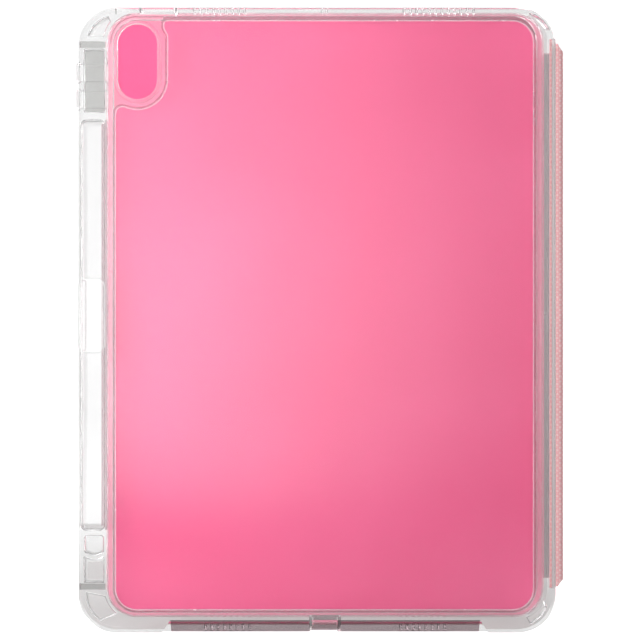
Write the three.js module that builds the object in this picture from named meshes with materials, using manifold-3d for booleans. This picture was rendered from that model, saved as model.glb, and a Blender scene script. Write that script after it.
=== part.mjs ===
// Folio case for a 10.9-inch tablet: a clear rigid back plate in a soft clear bumper with a stylus
// channel along one side, and a three-panel folding cover that hangs on a fabric spine on the other.
// Millimetres. The case stands on its bottom edge: +Z is up, the back faces -Y, the cover faces +Y
// and the spine is at +X. While the parts are drawn, X = 0 is the tablet's centre plane, Y = 0 its back
// face and Z = 0 the bottom edge. The last lines move them so that the origin is at the middle of the foot.
import * as THREE from 'three';
import { mergeVertices } from 'three/addons/utils/BufferGeometryUtils.js';
import Module from 'manifold-3d';

const wasm = await Module();
wasm.setup();

// ---------------------------------------------------------------- driving dimensions
const tablet = { width: 179.5, height: 248.6, depth: 7.0, corner: 12.0 };
const margin = { left: 11.85, right: 5.25, top: 2.3, bottom: 6.5 };   // shell beyond the tablet
const outerCorner = 15.5;
const shellEdgeRound = 0.8;
const clearance = 0.2;          // between the tablet and its bay
const gap = 0.1;                // between pieces that are bonded or rest on each other
const runningGap = 0.3;         // between pieces that move past each other
const arcSteps = 8;             // flats in each quarter turn
const beyond = 2;               // how far a cut runs out past the surface it opens

const plateThickness = 1.6;
const guardRise = 1.0;          // camera guard above the back
const bridgeThickness = 1.2;    // strap across the stylus channel, on the back
const lipThickness = 1.4;       // front lip over the tablet's border
const lipReach = 2.2;

const skinThickness = 0.7;
const boardThickness = 0.9;
const liningThickness = 0.5;

// ---------------------------------------------------------------- places worked out from them
const xLeft = -tablet.width / 2 - margin.left;
const xRight = tablet.width / 2 + margin.right;
const zTablet = margin.bottom;
const zTop = margin.bottom + tablet.height + margin.top;
const yBack = -plateThickness;
const yGuard = yBack - guardRise;
const yBridge = yBack - gap - bridgeThickness;
const yLip = tablet.depth + clearance;
const yFront = yLip + lipThickness;

const yLining = yFront + clearance;
const yBoard = yLining + liningThickness + gap;
const ySkin = yBoard + boardThickness + gap;
const yCover = ySkin + skinThickness;

// ---------------------------------------------------------------- solids
function toSolid(geometry) {
  const bare = geometry.clone();
  bare.deleteAttribute('normal');
  bare.deleteAttribute('uv');
  const merged = mergeVertices(bare, 1e-5);
  return new wasm.Manifold(new wasm.Mesh({
    numProp: 3,
    vertProperties: new Float32Array(merged.attributes.position.array),
    triVerts: new Uint32Array(merged.index.array),
  }));
}

function toGeometry(solid) {
  const mesh = solid.getMesh();
  const geometry = new THREE.BufferGeometry();
  geometry.setAttribute('position', new THREE.BufferAttribute(new Float32Array(mesh.vertProperties), 3));
  geometry.setIndex(new THREE.BufferAttribute(new Uint32Array(mesh.triVerts), 1));
  geometry.computeVertexNormals();
  return geometry;
}

// A flat piece parallel to the back plate: an outline drawn in X and Z, from y0 to y1.
function slab(outline, y0, y1, round = 0) {
  const geometry = new THREE.ExtrudeGeometry(outline, {
    depth: y1 - y0 - 2 * round,
    bevelEnabled: round > 0,
    bevelSize: round,
    bevelThickness: round,
    bevelOffset: -round,
    bevelSegments: 2,
    curveSegments: arcSteps,
  });
  geometry.rotateX(Math.PI / 2);
  geometry.translate(0, y1 - round, 0);
  return toSolid(geometry);
}

function block(x0, x1, y0, y1, z0, z1) {
  const geometry = new THREE.BoxGeometry(x1 - x0, y1 - y0, z1 - z0);
  geometry.translate((x0 + x1) / 2, (y0 + y1) / 2, (z0 + z1) / 2);
  return toSolid(geometry);
}

// A profile drawn in Y and Z, carried along X from x0 to x1.
function barAlongX(points, x0, x1) {
  const profile = new THREE.Shape(points.map(([y, z]) => new THREE.Vector2(y, z)));
  const geometry = new THREE.ExtrudeGeometry(profile, { depth: x1 - x0, bevelEnabled: false });
  const turn = new THREE.Matrix4().makeBasis(
    new THREE.Vector3(0, 1, 0), new THREE.Vector3(0, 0, 1), new THREE.Vector3(1, 0, 0));
  geometry.applyMatrix4(turn);
  geometry.translate(x0, 0, 0);
  return toSolid(geometry);
}

// A profile drawn in X and Y, carried along Z from z0 to z1.
function barAlongZ(points, z0, z1) {
  const profile = new THREE.Shape(points.map(([x, y]) => new THREE.Vector2(x, y)));
  const geometry = new THREE.ExtrudeGeometry(profile, { depth: z1 - z0, bevelEnabled: false });
  geometry.translate(0, 0, z0);
  return toSolid(geometry);
}

// ---------------------------------------------------------------- outlines
// A rectangle with four round corners: bottom left, bottom right, top right, top left.
function roundedRect(x0, x1, z0, z1, radius) {
  const [bl, br, tr, tl] = Array.isArray(radius) ? radius : [radius, radius, radius, radius];
  const s = new THREE.Shape();
  s.moveTo(x0 + bl, z0);
  s.lineTo(x1 - br, z0);
  s.absarc(x1 - br, z0 + br, br, -Math.PI / 2, 0, false);
  s.lineTo(x1, z1 - tr);
  s.absarc(x1 - tr, z1 - tr, tr, 0, Math.PI / 2, false);
  s.lineTo(x0 + tl, z1);
  s.absarc(x0 + tl, z1 - tl, tl, Math.PI / 2, Math.PI, false);
  s.lineTo(x0, z0 + bl);
  s.absarc(x0 + bl, z0 + bl, bl, Math.PI, 1.5 * Math.PI, false);
  return s;
}

// The tablet's own outline, grown outwards.
function tabletOutline(grow) {
  const half = tablet.width / 2 + grow;
  return roundedRect(-half, half, zTablet - grow, zTablet + tablet.height + grow, tablet.corner + grow);
}

const camera = { x: -77.2, z: 235.0, width: 16.0, height: 30.6, wall: 1.7 };

// The back plate's outline: a rounded rectangle that makes way for the camera guard at the top left.
// From the top edge it turns down a short nose, runs past the guard, follows the guard's round foot,
// and turns down again at its left side.
const plate = {
  x0: -86.6, x1: 86.1, z0: 9.1, z1: 252.2, corner: 9.0,
  noseX: -66.7, noseCorner: 1.8, noseZ: 249.3, besideX: -65.1, besideZ: 245.5, sideCorner: 3.3,
};

function plateOutline(grow) {
  const p = plate;
  const [x0, x1, z0, z1] = [p.x0 - grow, p.x1 + grow, p.z0 - grow, p.z1 + grow];
  const r = p.corner + grow;
  const [noseX, besideX] = [p.noseX - grow, p.besideX - grow];
  const noseCorner = p.noseCorner + grow;
  const bendZ = (p.noseZ + p.besideZ) / 2;
  const footZ = camera.z - camera.height / 2 + camera.width / 2;
  const footRadius = besideX - camera.x;
  const side = p.sideCorner + grow;
  const reach = footRadius + side;
  const turn = Math.asin((camera.x - x0 - side) / reach);
  const s = new THREE.Shape();
  s.moveTo(x0 + r, z0);
  s.lineTo(x1 - r, z0);
  s.absarc(x1 - r, z0 + r, r, -Math.PI / 2, 0, false);
  s.lineTo(x1, z1 - r);
  s.absarc(x1 - r, z1 - r, r, 0, Math.PI / 2, false);
  s.lineTo(noseX + noseCorner, z1);
  s.absarc(noseX + noseCorner, z1 - noseCorner, noseCorner, Math.PI / 2, Math.PI, false);
  s.lineTo(noseX, p.noseZ);
  s.bezierCurveTo(noseX, bendZ, besideX, bendZ, besideX, p.besideZ);
  s.lineTo(besideX, footZ);
  s.absarc(camera.x, footZ, footRadius, 0, -Math.PI / 2 - turn, true);
  s.absarc(x0 + side, footZ - reach * Math.cos(turn), side, Math.PI / 2 - turn, Math.PI, false);
  s.lineTo(x0, z0 + r);
  s.absarc(x0 + r, z0 + r, r, Math.PI, 1.5 * Math.PI, false);
  return s;
}

// ---------------------------------------------------------------- features of the shell
const channel = { x0: -100.4, x1: -90.9, floor: 7.6, z0: 42.3, z1: 211.0, corner: 1.5 };
const bridge = { z0: 115.2, z1: 146.0, foot: 1.0, corner: 2.5 };
const thumbRecess = {
  x0: -98.9, x1: -91.4, z0: 32.0, z1: 39.8, depth: 5.0, footCorner: 3.4, topCorner: 0.8,
};
// Open-backed pockets that lighten the thick side beside the tablet; the corner ones cushion a fall.
const pocketFloor = 6.4;
const pocketWall = 3.4;         // left at the shell's outer side
const bayWall = 1.1;            // left between a corner pocket and the tablet's bay
const sidePockets = [
  { x0: -99.2, x1: -90.9, z0: 214.2, z1: 242.8 },
  { x0: -99.2, x1: -90.9, z0: 20.6, z1: 29.6 },
];
const cornerPockets = [
  { x0: -99.5, x1: -88.0, z0: 245.4, z1: 254.0 },
  { x0: -99.5, x1: -87.0, z0: 4.6, z1: 16.4 },
];
const topButtonSlot = { x0: -76.8, x1: -61.0, y0: 0.9, y1: 6.1 };
const port = { halfWidth: 6.6, y0: 0.6, y1: 6.4 };
const scoop = { z: 5.2, y: 3.6, halfTop: 63.8, halfBottom: 67.2 };
const soundSlot = { width: 1.2, pitch: 2.6, y0: 2.2, y1: 4.8 };
const topSlotGroups = [{ x: -54.0, count: 9 }, { x: 32.6, count: 12 }];
const bottomSlotGroups = [{ x: -49.4, count: 8 }, { x: 31.2, count: 8 }];
const microphones = { at: [-1.3, 0.65], width: 0.9, y0: 2.9, y1: 3.8 };
const topCut = 4;               // openings in the top edge reach this far down, into the bay

const buttons = {
  rows: { volume_up_button: 230.6, volume_down_button: 219.5 },
  capHeight: 8.4, capY0: 0.6, capY1: 6.0, rise: 1.0, sunk: 0.3, capCorner: 0.9, innerCorner: 0.05,
  stemHeight: 7.0, stemY0: 1.9, stemY1: 4.7, travel: 0.6, tabletGap: 0.7, intoBay: 3,
};

const hinge = {
  rebateX: 92.3, rebateDepth: 6.8, z0: 18.3, z1: 244.4,
  flange: 1.0, retainer: 1.35, retainerSunk: 0.05,
};

const spine = { z0: 21.8, z1: 239.3, skin: 0.8, board: 1.1, lining: 0.7 };
const xSpine = xRight + runningGap;
const xSpineBoard = xSpine + spine.lining + gap;
const xSpineSkin = xSpineBoard + spine.board + gap;
const xSpineOuter = xSpineSkin + spine.skin;
const ySpine0 = yBack + clearance;
const ySpine1 = yLining - runningGap;

const folds = [-28.4, 33.1];    // the two fold lines between the panels
const foldGap = 3.0;            // bare skin between two boards
const hingeGap = 3.6;           // bare skin between the spine and the first board
const boardInset = 1.6;         // boards stop short of the cover's sewn edge
const liningInset = 0.5;        // and the lining stops just short of it
const boardToFold = 0.6;        // boards also stand back from the bare skin of a fold
const spineEnd = 0.4;           // spine's board and lining stop short of its skin's ends
const overhang = 0.8;           // the cover reaches this far beyond the tablet all round

// A pocket in a corner of the bumper, kept off the outer wall and off the tablet's bay.
function cornerPocket(p) {
  const wall = slab(roundedRect(xLeft + pocketWall, xRight - pocketWall, pocketWall, zTop - pocketWall,
    outerCorner - pocketWall), yBack - beyond, pocketFloor);
  return wall.intersect(block(p.x0, p.x1, yBack - beyond, pocketFloor, p.z0, p.z1))
    .subtract(slab(tabletOutline(bayWall), yBack - 2 * beyond, yFront));
}

function slotRow(groups, z0, z1) {
  return groups.flatMap(({ x, count }) => Array.from({ length: count }, (_, i) => {
    const left = x + i * soundSlot.pitch - soundSlot.width / 2;
    return block(left, left + soundSlot.width, soundSlot.y0, soundSlot.y1, z0, z1);
  }));
}

function stadium(grow) {
  const [w, h] = [camera.width / 2 + grow, camera.height / 2 + grow];
  return roundedRect(camera.x - w, camera.x + w, camera.z - h, camera.z + h, w - 0.01);
}

function subtractAll(solid, cuts) {
  return cuts.reduce((left, cut) => left.subtract(cut), solid);
}

function bumperFrame() {
  const body = slab(roundedRect(xLeft, xRight, 0, zTop, outerCorner), yBack, yFront, shellEdgeRound);
  const half = tablet.width / 2 - lipReach;
  const screen = roundedRect(-half, half, zTablet + lipReach, zTablet + tablet.height - lipReach,
    tablet.corner - lipReach);
  const thumb = roundedRect(thumbRecess.x0, thumbRecess.x1, thumbRecess.z0, thumbRecess.z1,
    [thumbRecess.footCorner, thumbRecess.footCorner, thumbRecess.topCorner, thumbRecess.topCorner]);
  const scoopEnds = new THREE.Shape([
    new THREE.Vector2(-scoop.halfBottom, -beyond), new THREE.Vector2(scoop.halfBottom, -beyond),
    new THREE.Vector2(scoop.halfBottom, 0), new THREE.Vector2(scoop.halfTop, scoop.z),
    new THREE.Vector2(-scoop.halfTop, scoop.z), new THREE.Vector2(-scoop.halfBottom, 0)]);
  const scoopRamp = barAlongX([[yBack - beyond, scoop.z], [yBack, scoop.z], [scoop.y, 0],
    [scoop.y, -beyond], [yBack - beyond, -beyond]], -scoop.halfBottom, scoop.halfBottom);
  const cuts = [
    slab(tabletOutline(clearance), 0, yLip),
    slab(screen, yLip - 1, yFront + beyond),
    slab(plateOutline(gap), yBack - beyond, 1),
    slab(stadium(camera.wall + gap), yBack - beyond, 1),
    slab(roundedRect(channel.x0, channel.x1, channel.z0, channel.z1, channel.corner),
      yBack - beyond, channel.floor),
    slab(thumb, yBack - beyond, yBack + thumbRecess.depth),
    ...sidePockets.map((p) => block(p.x0, p.x1, yBack - beyond, pocketFloor, p.z0, p.z1)),
    ...cornerPockets.map(cornerPocket),
    block(topButtonSlot.x0, topButtonSlot.x1, topButtonSlot.y0, topButtonSlot.y1,
      zTop - topCut, zTop + beyond),
    block(-port.halfWidth, port.halfWidth, port.y0, port.y1, -beyond, zTablet + beyond),
    slab(scoopEnds, yBack - 2 * beyond, yFront + beyond).intersect(scoopRamp),
    block(hinge.rebateX, xRight + beyond, yBack - beyond, yBack + hinge.rebateDepth, hinge.z0, hinge.z1),
    ...slotRow(topSlotGroups, zTop - topCut, zTop + beyond),
    ...slotRow(bottomSlotGroups, -beyond, zTablet + beyond),
    ...microphones.at.map((x) => block(x - microphones.width / 2, x + microphones.width / 2,
      microphones.y0, microphones.y1, zTop - topCut, zTop + beyond)),
    ...Object.values(buttons.rows).flatMap((z) => buttonHoles(z)),
  ];
  return subtractAll(body, cuts);
}

// The pocket that a button's cap sinks into, and the slot that its stem slides in.
function buttonHoles(z) {
  const b = buttons;
  const play = runningGap;
  const [cap, stem] = [b.capHeight / 2 + play, b.stemHeight / 2 + play];
  return [
    block(xLeft - beyond, xLeft + b.sunk + b.travel + gap, b.capY0 - play, b.capY1 + play, z - cap, z + cap),
    block(xLeft - beyond, channel.x1 + b.intoBay, b.stemY0 - play, b.stemY1 + play, z - stem, z + stem),
  ];
}

function button(z) {
  const b = buttons;
  const cap = slab(roundedRect(xLeft - b.rise, xLeft + b.sunk, z - b.capHeight / 2, z + b.capHeight / 2,
    [b.capCorner, b.innerCorner, b.innerCorner, b.capCorner]), b.capY0, b.capY1);
  const stemEnd = -tablet.width / 2 - b.tabletGap;
  const stem = block(xLeft, stemEnd, b.stemY0, b.stemY1, z - b.stemHeight / 2, z + b.stemHeight / 2);
  return cap.add(stem);
}

function backPlate() {
  return slab(plateOutline(0), yBack, 0);
}

function cameraGuard() {
  return slab(stadium(camera.wall), yGuard, 0).subtract(slab(stadium(0), yGuard - 1, 1));
}

// A strap across the back of the stylus channel, standing on a narrow foot at each side.
function stylusBridge() {
  const outline = roundedRect(xLeft + gap, channel.x1 + bridge.foot, bridge.z0, bridge.z1, bridge.corner);
  return slab(outline, yBridge, yBack - gap);
}

function spineFlange() {
  const x0 = hinge.rebateX + gap;
  return block(x0, x0 + hinge.flange, yBack + gap, yBack + hinge.rebateDepth - gap,
    hinge.z0 + gap, hinge.z1 - gap);
}

function hingeRetainer() {
  const x1 = xRight - hinge.retainerSunk;
  return block(x1 - hinge.retainer, x1, yBack + gap, yBack + hinge.rebateDepth - gap,
    hinge.z0 + gap, hinge.z1 - gap);
}

// ---------------------------------------------------------------- spine
function spineSkin() {
  const profile = [[xSpine, ySpine0], [xSpineOuter, ySpine0], [xSpineOuter, ySpine1],
    [xSpineSkin, ySpine1], [xSpineSkin, ySpine0 + spine.skin], [xSpine, ySpine0 + spine.skin]];
  return barAlongZ(profile, spine.z0, spine.z1);
}

function spineBoard() {
  return block(xSpineBoard, xSpineBoard + spine.board, ySpine0 + spine.skin + gap, ySpine1 - spineEnd,
    spine.z0 + boardInset, spine.z1 - boardInset);
}

function spineLining() {
  return block(xSpine, xSpine + spine.lining, ySpine0 + spine.skin + gap, ySpine1,
    spine.z0 + spineEnd, spine.z1 - spineEnd);
}

// ---------------------------------------------------------------- cover panels
// The cover's outline: a little more than the tablet's, with a shoulder as tall as the spine at its side.
function coverOutline(inset) {
  const cover = slab(tabletOutline(overhang - inset), 0, 1);
  const shoulder = block(0, xSpineOuter - hingeGap - inset, 0, 1,
    spine.z0 + inset, spine.z1 - inset);
  return cover.add(shoulder);
}

// One layer of one panel: the cover's outline between two fold lines, from y0 to y1.
function panelLayer(x0, x1, y0, y1, inset) {
  const layer = coverOutline(inset).intersect(block(x0, x1, 0, 1, -1, zTop + 1));
  return layer.scale([1, y1 - y0, 1]).translate([0, y0, 0]);
}

const far = 120;                // past either side of the cover
const panels = {
  a: { x0: folds[1], x1: far },
  b: { x0: folds[0], x1: folds[1] },
  c: { x0: -far, x1: folds[0] },
};

const stripHalf = 46;
const magnets = {
  stand_strip: { panel: 'a', x0: 84.0, x1: 90.0, z0: -stripHalf, z1: stripHalf },
  stand_magnet_top: { panel: 'c', x0: -85.4, x1: -79.4, z0: 30, z1: 44 },
  stand_magnet_middle: { panel: 'c', x0: -85.4, x1: -79.4, z0: -7, z1: 7 },
  stand_magnet_bottom: { panel: 'c', x0: -85.4, x1: -79.4, z0: -44, z1: -30 },
  wake_magnet: { panel: 'c', x0: -76.5, x1: -66.5, z0: -96, z1: -90 },
};
const magnetThickness = 0.7;
const zMiddle = (spine.z0 + spine.z1) / 2;

function magnetBlock(m, play, y0, y1) {
  return block(m.x0 - play, m.x1 + play, y0, y1, zMiddle + m.z0 - play, zMiddle + m.z1 + play);
}

function panelPieces(letter) {
  const { x0, x1 } = panels[letter];
  const half = foldGap / 2;
  const skin = panelLayer(x0 + half, x1 - half, ySkin, yCover, 0);
  const lining = panelLayer(x0 + half, x1 - half, yLining, yLining + liningThickness,
    liningInset);
  const pockets = Object.values(magnets).filter((m) => m.panel === letter)
    .map((m) => magnetBlock(m, gap, yBoard - 1, yBoard + boardThickness + 1));
  const board = subtractAll(
    panelLayer(x0 + half + boardToFold, x1 - half - boardToFold, yBoard, yBoard + boardThickness,
      boardInset), pockets);
  return { skin, board, lining };
}

// ---------------------------------------------------------------- assembly
const finish = {
  clear_plastic: { color: 0xe6e8ea, roughness: 0.08, metalness: 0, transparent: true, opacity: 0.35 },
  frosted: { color: 0xf2b6c6, roughness: 0.35, metalness: 0, transparent: true, opacity: 0.6 },
  fabric: { color: 0xe6a3a6, roughness: 0.85, metalness: 0 },
  lining: { color: 0xe0507c, roughness: 0.95, metalness: 0 },
  board: { color: 0x8a8a88, roughness: 0.8, metalness: 0 },
  magnet: { color: 0xb8babd, roughness: 0.3, metalness: 1 },
};

const assembly = new THREE.Group();

function place(name, solid, finishName) {
  const mesh = new THREE.Mesh(toGeometry(solid), new THREE.MeshStandardMaterial(finish[finishName]));
  mesh.name = name;
  assembly.add(mesh);
}

place('back_plate', backPlate(), 'clear_plastic');
place('bumper_frame', bumperFrame(), 'clear_plastic');
place('camera_guard', cameraGuard(), 'frosted');
place('stylus_bridge', stylusBridge(), 'clear_plastic');
place('spine_flange', spineFlange(), 'fabric');
place('hinge_retainer', hingeRetainer(), 'clear_plastic');
for (const [name, z] of Object.entries(buttons.rows)) place(name, button(z), 'clear_plastic');

place('spine_skin', spineSkin(), 'fabric');
place('spine_board', spineBoard(), 'board');
place('spine_lining', spineLining(), 'lining');

for (const letter of Object.keys(panels)) {
  const { skin, board, lining } = panelPieces(letter);
  place(`panel_${letter}_skin`, skin, 'fabric');
  place(`panel_${letter}_board`, board, 'board');
  place(`panel_${letter}_lining`, lining, 'lining');
}

for (const [name, m] of Object.entries(magnets)) {
  const y0 = yBoard + (boardThickness - magnetThickness) / 2;
  place(name, magnetBlock(m, 0, y0, y0 + magnetThickness), 'magnet');
}

const xMiddle = (xLeft - buttons.rise + xSpineOuter) / 2;
const yMiddle = (Math.min(yGuard, yBridge) + yCover) / 2;
assembly.position.set(-xMiddle, -yMiddle, 0);

export default assembly;
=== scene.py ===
"""Looks of a clear-backed folio case for a tablet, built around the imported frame.

Sizes are in millimetres in the drawing frame that the case was designed in: x = 0 is the tablet's
centre plane, y = 0 its back face and z = 0 the bottom edge. at() turns them into the row frame in metres.
"""

import math

import bmesh
import bpy
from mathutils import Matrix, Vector


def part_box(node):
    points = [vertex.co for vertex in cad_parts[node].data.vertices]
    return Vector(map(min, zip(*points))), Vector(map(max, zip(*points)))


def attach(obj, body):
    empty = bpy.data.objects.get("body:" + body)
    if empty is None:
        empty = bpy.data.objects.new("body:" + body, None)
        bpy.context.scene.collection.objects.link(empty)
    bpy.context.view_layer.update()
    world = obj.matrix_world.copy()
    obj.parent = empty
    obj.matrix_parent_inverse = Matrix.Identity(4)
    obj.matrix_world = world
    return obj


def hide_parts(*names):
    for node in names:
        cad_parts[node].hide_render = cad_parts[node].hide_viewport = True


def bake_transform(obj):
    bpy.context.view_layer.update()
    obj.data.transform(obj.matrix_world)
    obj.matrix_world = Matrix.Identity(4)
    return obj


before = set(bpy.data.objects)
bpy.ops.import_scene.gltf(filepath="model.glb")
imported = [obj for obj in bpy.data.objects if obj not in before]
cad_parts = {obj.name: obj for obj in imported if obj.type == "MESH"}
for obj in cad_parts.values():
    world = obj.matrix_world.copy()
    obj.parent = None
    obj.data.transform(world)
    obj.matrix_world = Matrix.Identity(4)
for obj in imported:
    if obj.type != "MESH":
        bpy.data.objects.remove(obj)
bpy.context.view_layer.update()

MM = 0.001
scene = bpy.context.scene

# ------------------------------------------------------------------ places taken from the frame
shell_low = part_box("bumper_frame")[0]
# how far the bumper reaches to the left of the tablet's middle, and behind its back
WALL_LEFT = 101.6
PLATE = 1.6
SHIFT_X = shell_low[0] / MM + WALL_LEFT
SHIFT_Y = shell_low[1] / MM + PLATE


def at(x, y, z):
    return Vector(((x + SHIFT_X) * MM, (y + SHIFT_Y) * MM, z * MM))


def node_box(name):
    """A node's box in drawing millimetres: (x0, x1), (y0, y1), (z0, z1)."""
    low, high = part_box(name)
    shift = (SHIFT_X, SHIFT_Y, 0)
    return [(low[i] / MM - shift[i], high[i] / MM - shift[i]) for i in range(3)]


(X0, X1), (Y_BACK, Y_FRONT), (Z0, Z1) = node_box("bumper_frame")
TABLET_HALF = 89.75
TABLET_Z0, TABLET_Z1 = 6.5, 255.1
TABLET_CORNER = 12.0
OUTER_CORNER = 15.5
Y_LIP = 7.2
LIP_REACH = 2.2
BAY_PLAY = 0.2
ARC = 12

# ------------------------------------------------------------------ outlines
# an outline is a function: told how far to grow, it gives its points


def arc(cx, cz, radius, start, end, steps=ARC):
    """Points along an arc, in degrees, both ends included."""
    turns = [math.radians(start + (end - start) * i / steps) for i in range(steps + 1)]
    return [(cx + radius * math.cos(t), cz + radius * math.sin(t)) for t in turns]


def rounded_rect(x0, x1, z0, z1, radius):
    """An outline with round corners: one radius, or bottom left, bottom right, top right, top left."""
    radii = radius if isinstance(radius, tuple) else (radius,) * 4

    def outline(grow=0.0):
        a0, a1, b0, b1 = x0 - grow, x1 + grow, z0 - grow, z1 + grow
        bl, br, tr, tl = [max(r + grow, 0.02) for r in radii]
        return (
            arc(a0 + bl, b0 + bl, bl, 180, 270)
            + arc(a1 - br, b0 + br, br, 270, 360)
            + arc(a1 - tr, b1 - tr, tr, 0, 90)
            + arc(a0 + tl, b1 - tl, tl, 90, 180)
        )

    return outline


def stadium(cx, cz, width, height):
    half = (width / 2, height / 2)
    radius = min(half) - 0.005
    return rounded_rect(cx - half[0], cx + half[0], cz - half[1], cz + half[1], radius)


CAMERA = {"x": -77.2, "z": 235.0, "width": 16.0, "height": 30.6}
GUARD_WALL = 1.7
# the back plate: its box, its corners, and how it steps back beside the camera guard
PLATE_X = (-86.6, 86.1)
PLATE_Z = (9.1, 252.2)
PLATE_CORNER = 9.0
NOSE = {"x": -66.7, "beside": -65.1, "z": 249.3, "beside_z": 245.5, "corner": 1.8, "side": 3.3}
RIM_LIFT = 0.8


def plate_outline(grow=0.0, lift=0.0):
    """The back plate: a rounded rectangle that makes way for the camera guard.

    lift moves the top edge alone.
    """
    x0, x1 = PLATE_X[0] - grow, PLATE_X[1] + grow
    z0, z1 = PLATE_Z[0] - grow, PLATE_Z[1] + grow + lift
    corner = PLATE_CORNER + grow
    nose_x, beside_x = NOSE["x"] - grow, NOSE["beside"] - grow
    nose_corner = max(NOSE["corner"] + grow, 0.1)
    nose_z, beside_z = NOSE["z"], NOSE["beside_z"]
    foot_z = CAMERA["z"] - CAMERA["height"] / 2 + CAMERA["width"] / 2
    foot_radius = beside_x - CAMERA["x"]
    side = NOSE["side"] + grow
    reach = foot_radius + side
    turn = math.degrees(math.asin((CAMERA["x"] - x0 - side) / reach))
    bend = []
    steps = 8
    for i in range(steps + 1):
        t = i / steps
        ease = t * t * (3 - 2 * t)
        bend.append((nose_x + (beside_x - nose_x) * ease, nose_z + (beside_z - nose_z) * t))
    return (
        arc(x0 + corner, z0 + corner, corner, 180, 270)
        + arc(x1 - corner, z0 + corner, corner, 270, 360)
        + arc(x1 - corner, z1 - corner, corner, 0, 90)
        + arc(nose_x + nose_corner, z1 - nose_corner, nose_corner, 90, 180, 6)
        + bend
        + arc(CAMERA["x"], foot_z, foot_radius, 0, -90 - turn, 24)
        + arc(x0 + side, foot_z - reach * math.cos(math.radians(turn)), side, 90 - turn, 180, 8)[1:]
    )


def rim_outline(grow=0.0):
    """The groove's outer side: wider along the top."""
    return plate_outline(grow, RIM_LIFT)


def free_outline(points):
    """Any outline, grown by moving each point along its mitre."""

    def outline(grow=0.0):
        moved = []
        count = len(points)
        for i, here in enumerate(points):
            before = Vector(here) - Vector(points[i - 1])
            after = Vector(points[(i + 1) % count]) - Vector(here)
            n1 = Vector((before.y, -before.x)).normalized()
            n2 = Vector((after.y, -after.x)).normalized()
            mitre = (n1 + n2).normalized()
            reach = grow / max(mitre.dot(n1), 0.5)
            moved.append((here[0] + mitre.x * reach, here[1] + mitre.y * reach))
        return moved

    return outline


outer_outline = rounded_rect(X0, X1, Z0, Z1, OUTER_CORNER)
tablet_outline = rounded_rect(-TABLET_HALF, TABLET_HALF, TABLET_Z0, TABLET_Z1, TABLET_CORNER)

# ------------------------------------------------------------------ solids


def fillet(height, radius, rising=True, steps=4):
    """Profile points of a quarter round that starts a solid at height, or ends it there if not rising."""
    points = []
    for i in range(steps + 1):
        t = math.pi / 2 * i / steps
        points.append((height + radius * (1 - math.cos(t)), -radius * (1 - math.sin(t))))
    if not rising:
        points = [(2 * height - h, g) for h, g in reversed(points)]
    return points


def put(u, v, height, axis):
    """A point of an outline at a height along the axis that it is lofted on."""
    if axis == "y":
        return at(u, height, v)
    if axis == "z":
        return at(u, v, height)
    return at(height, u, v)


def mesh_object(name, bm):
    bmesh.ops.recalc_face_normals(bm, faces=bm.faces)
    mesh = bpy.data.meshes.new(name)
    bm.to_mesh(mesh)
    bm.free()
    obj = bpy.data.objects.new(name, mesh)
    scene.collection.objects.link(obj)
    return obj


def loft(name, outline, profile, axis="y"):
    """A closed solid. profile lists (height along axis, how far the outline grows there)."""
    bm = bmesh.new()
    rings = [[bm.verts.new(put(u, v, height, axis)) for u, v in outline(grow)] for height, grow in profile]
    for lower, upper in zip(rings, rings[1:]):
        for i in range(len(lower)):
            j = (i + 1) % len(lower)
            bm.faces.new((lower[i], lower[j], upper[j], upper[i]))
    bm.faces.new(rings[0])
    bm.faces.new(rings[-1])
    return mesh_object(name, bm)


def ring(name, sections):
    """A closed hoop. sections lists (outline, height, grow) round its cross-section."""
    bm = bmesh.new()
    loops = [[bm.verts.new(at(x, y, z)) for x, z in outline(grow)] for outline, y, grow in sections]
    for lower, upper in zip(loops, loops[1:] + loops[:1]):
        for i in range(len(lower)):
            j = (i + 1) % len(lower)
            bm.faces.new((lower[i], lower[j], upper[j], upper[i]))
    return mesh_object(name, bm)


def box_solid(name, xs, ys, zs):
    """A plain block between pairs of x, y and z."""
    return loft(name, lambda grow: [(xs[0], zs[0]), (xs[1], zs[0]), (xs[1], zs[1]), (xs[0], zs[1])],
                [(ys[0], 0), (ys[1], 0)])


# how much thinner a sheet is at these distances from its end: a turned hem, and a cut edge
HEM = [(0.0, 0.5), (0.15, 0.36), (0.4, 0.28), (1.3, 0.26), (1.7, 0.18), (2.1, 0.06), (2.7, 0.0)]
PLAIN_EDGE = [(0.0, 0.22), (0.1, 0.07), (0.25, 0.0)]


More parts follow.
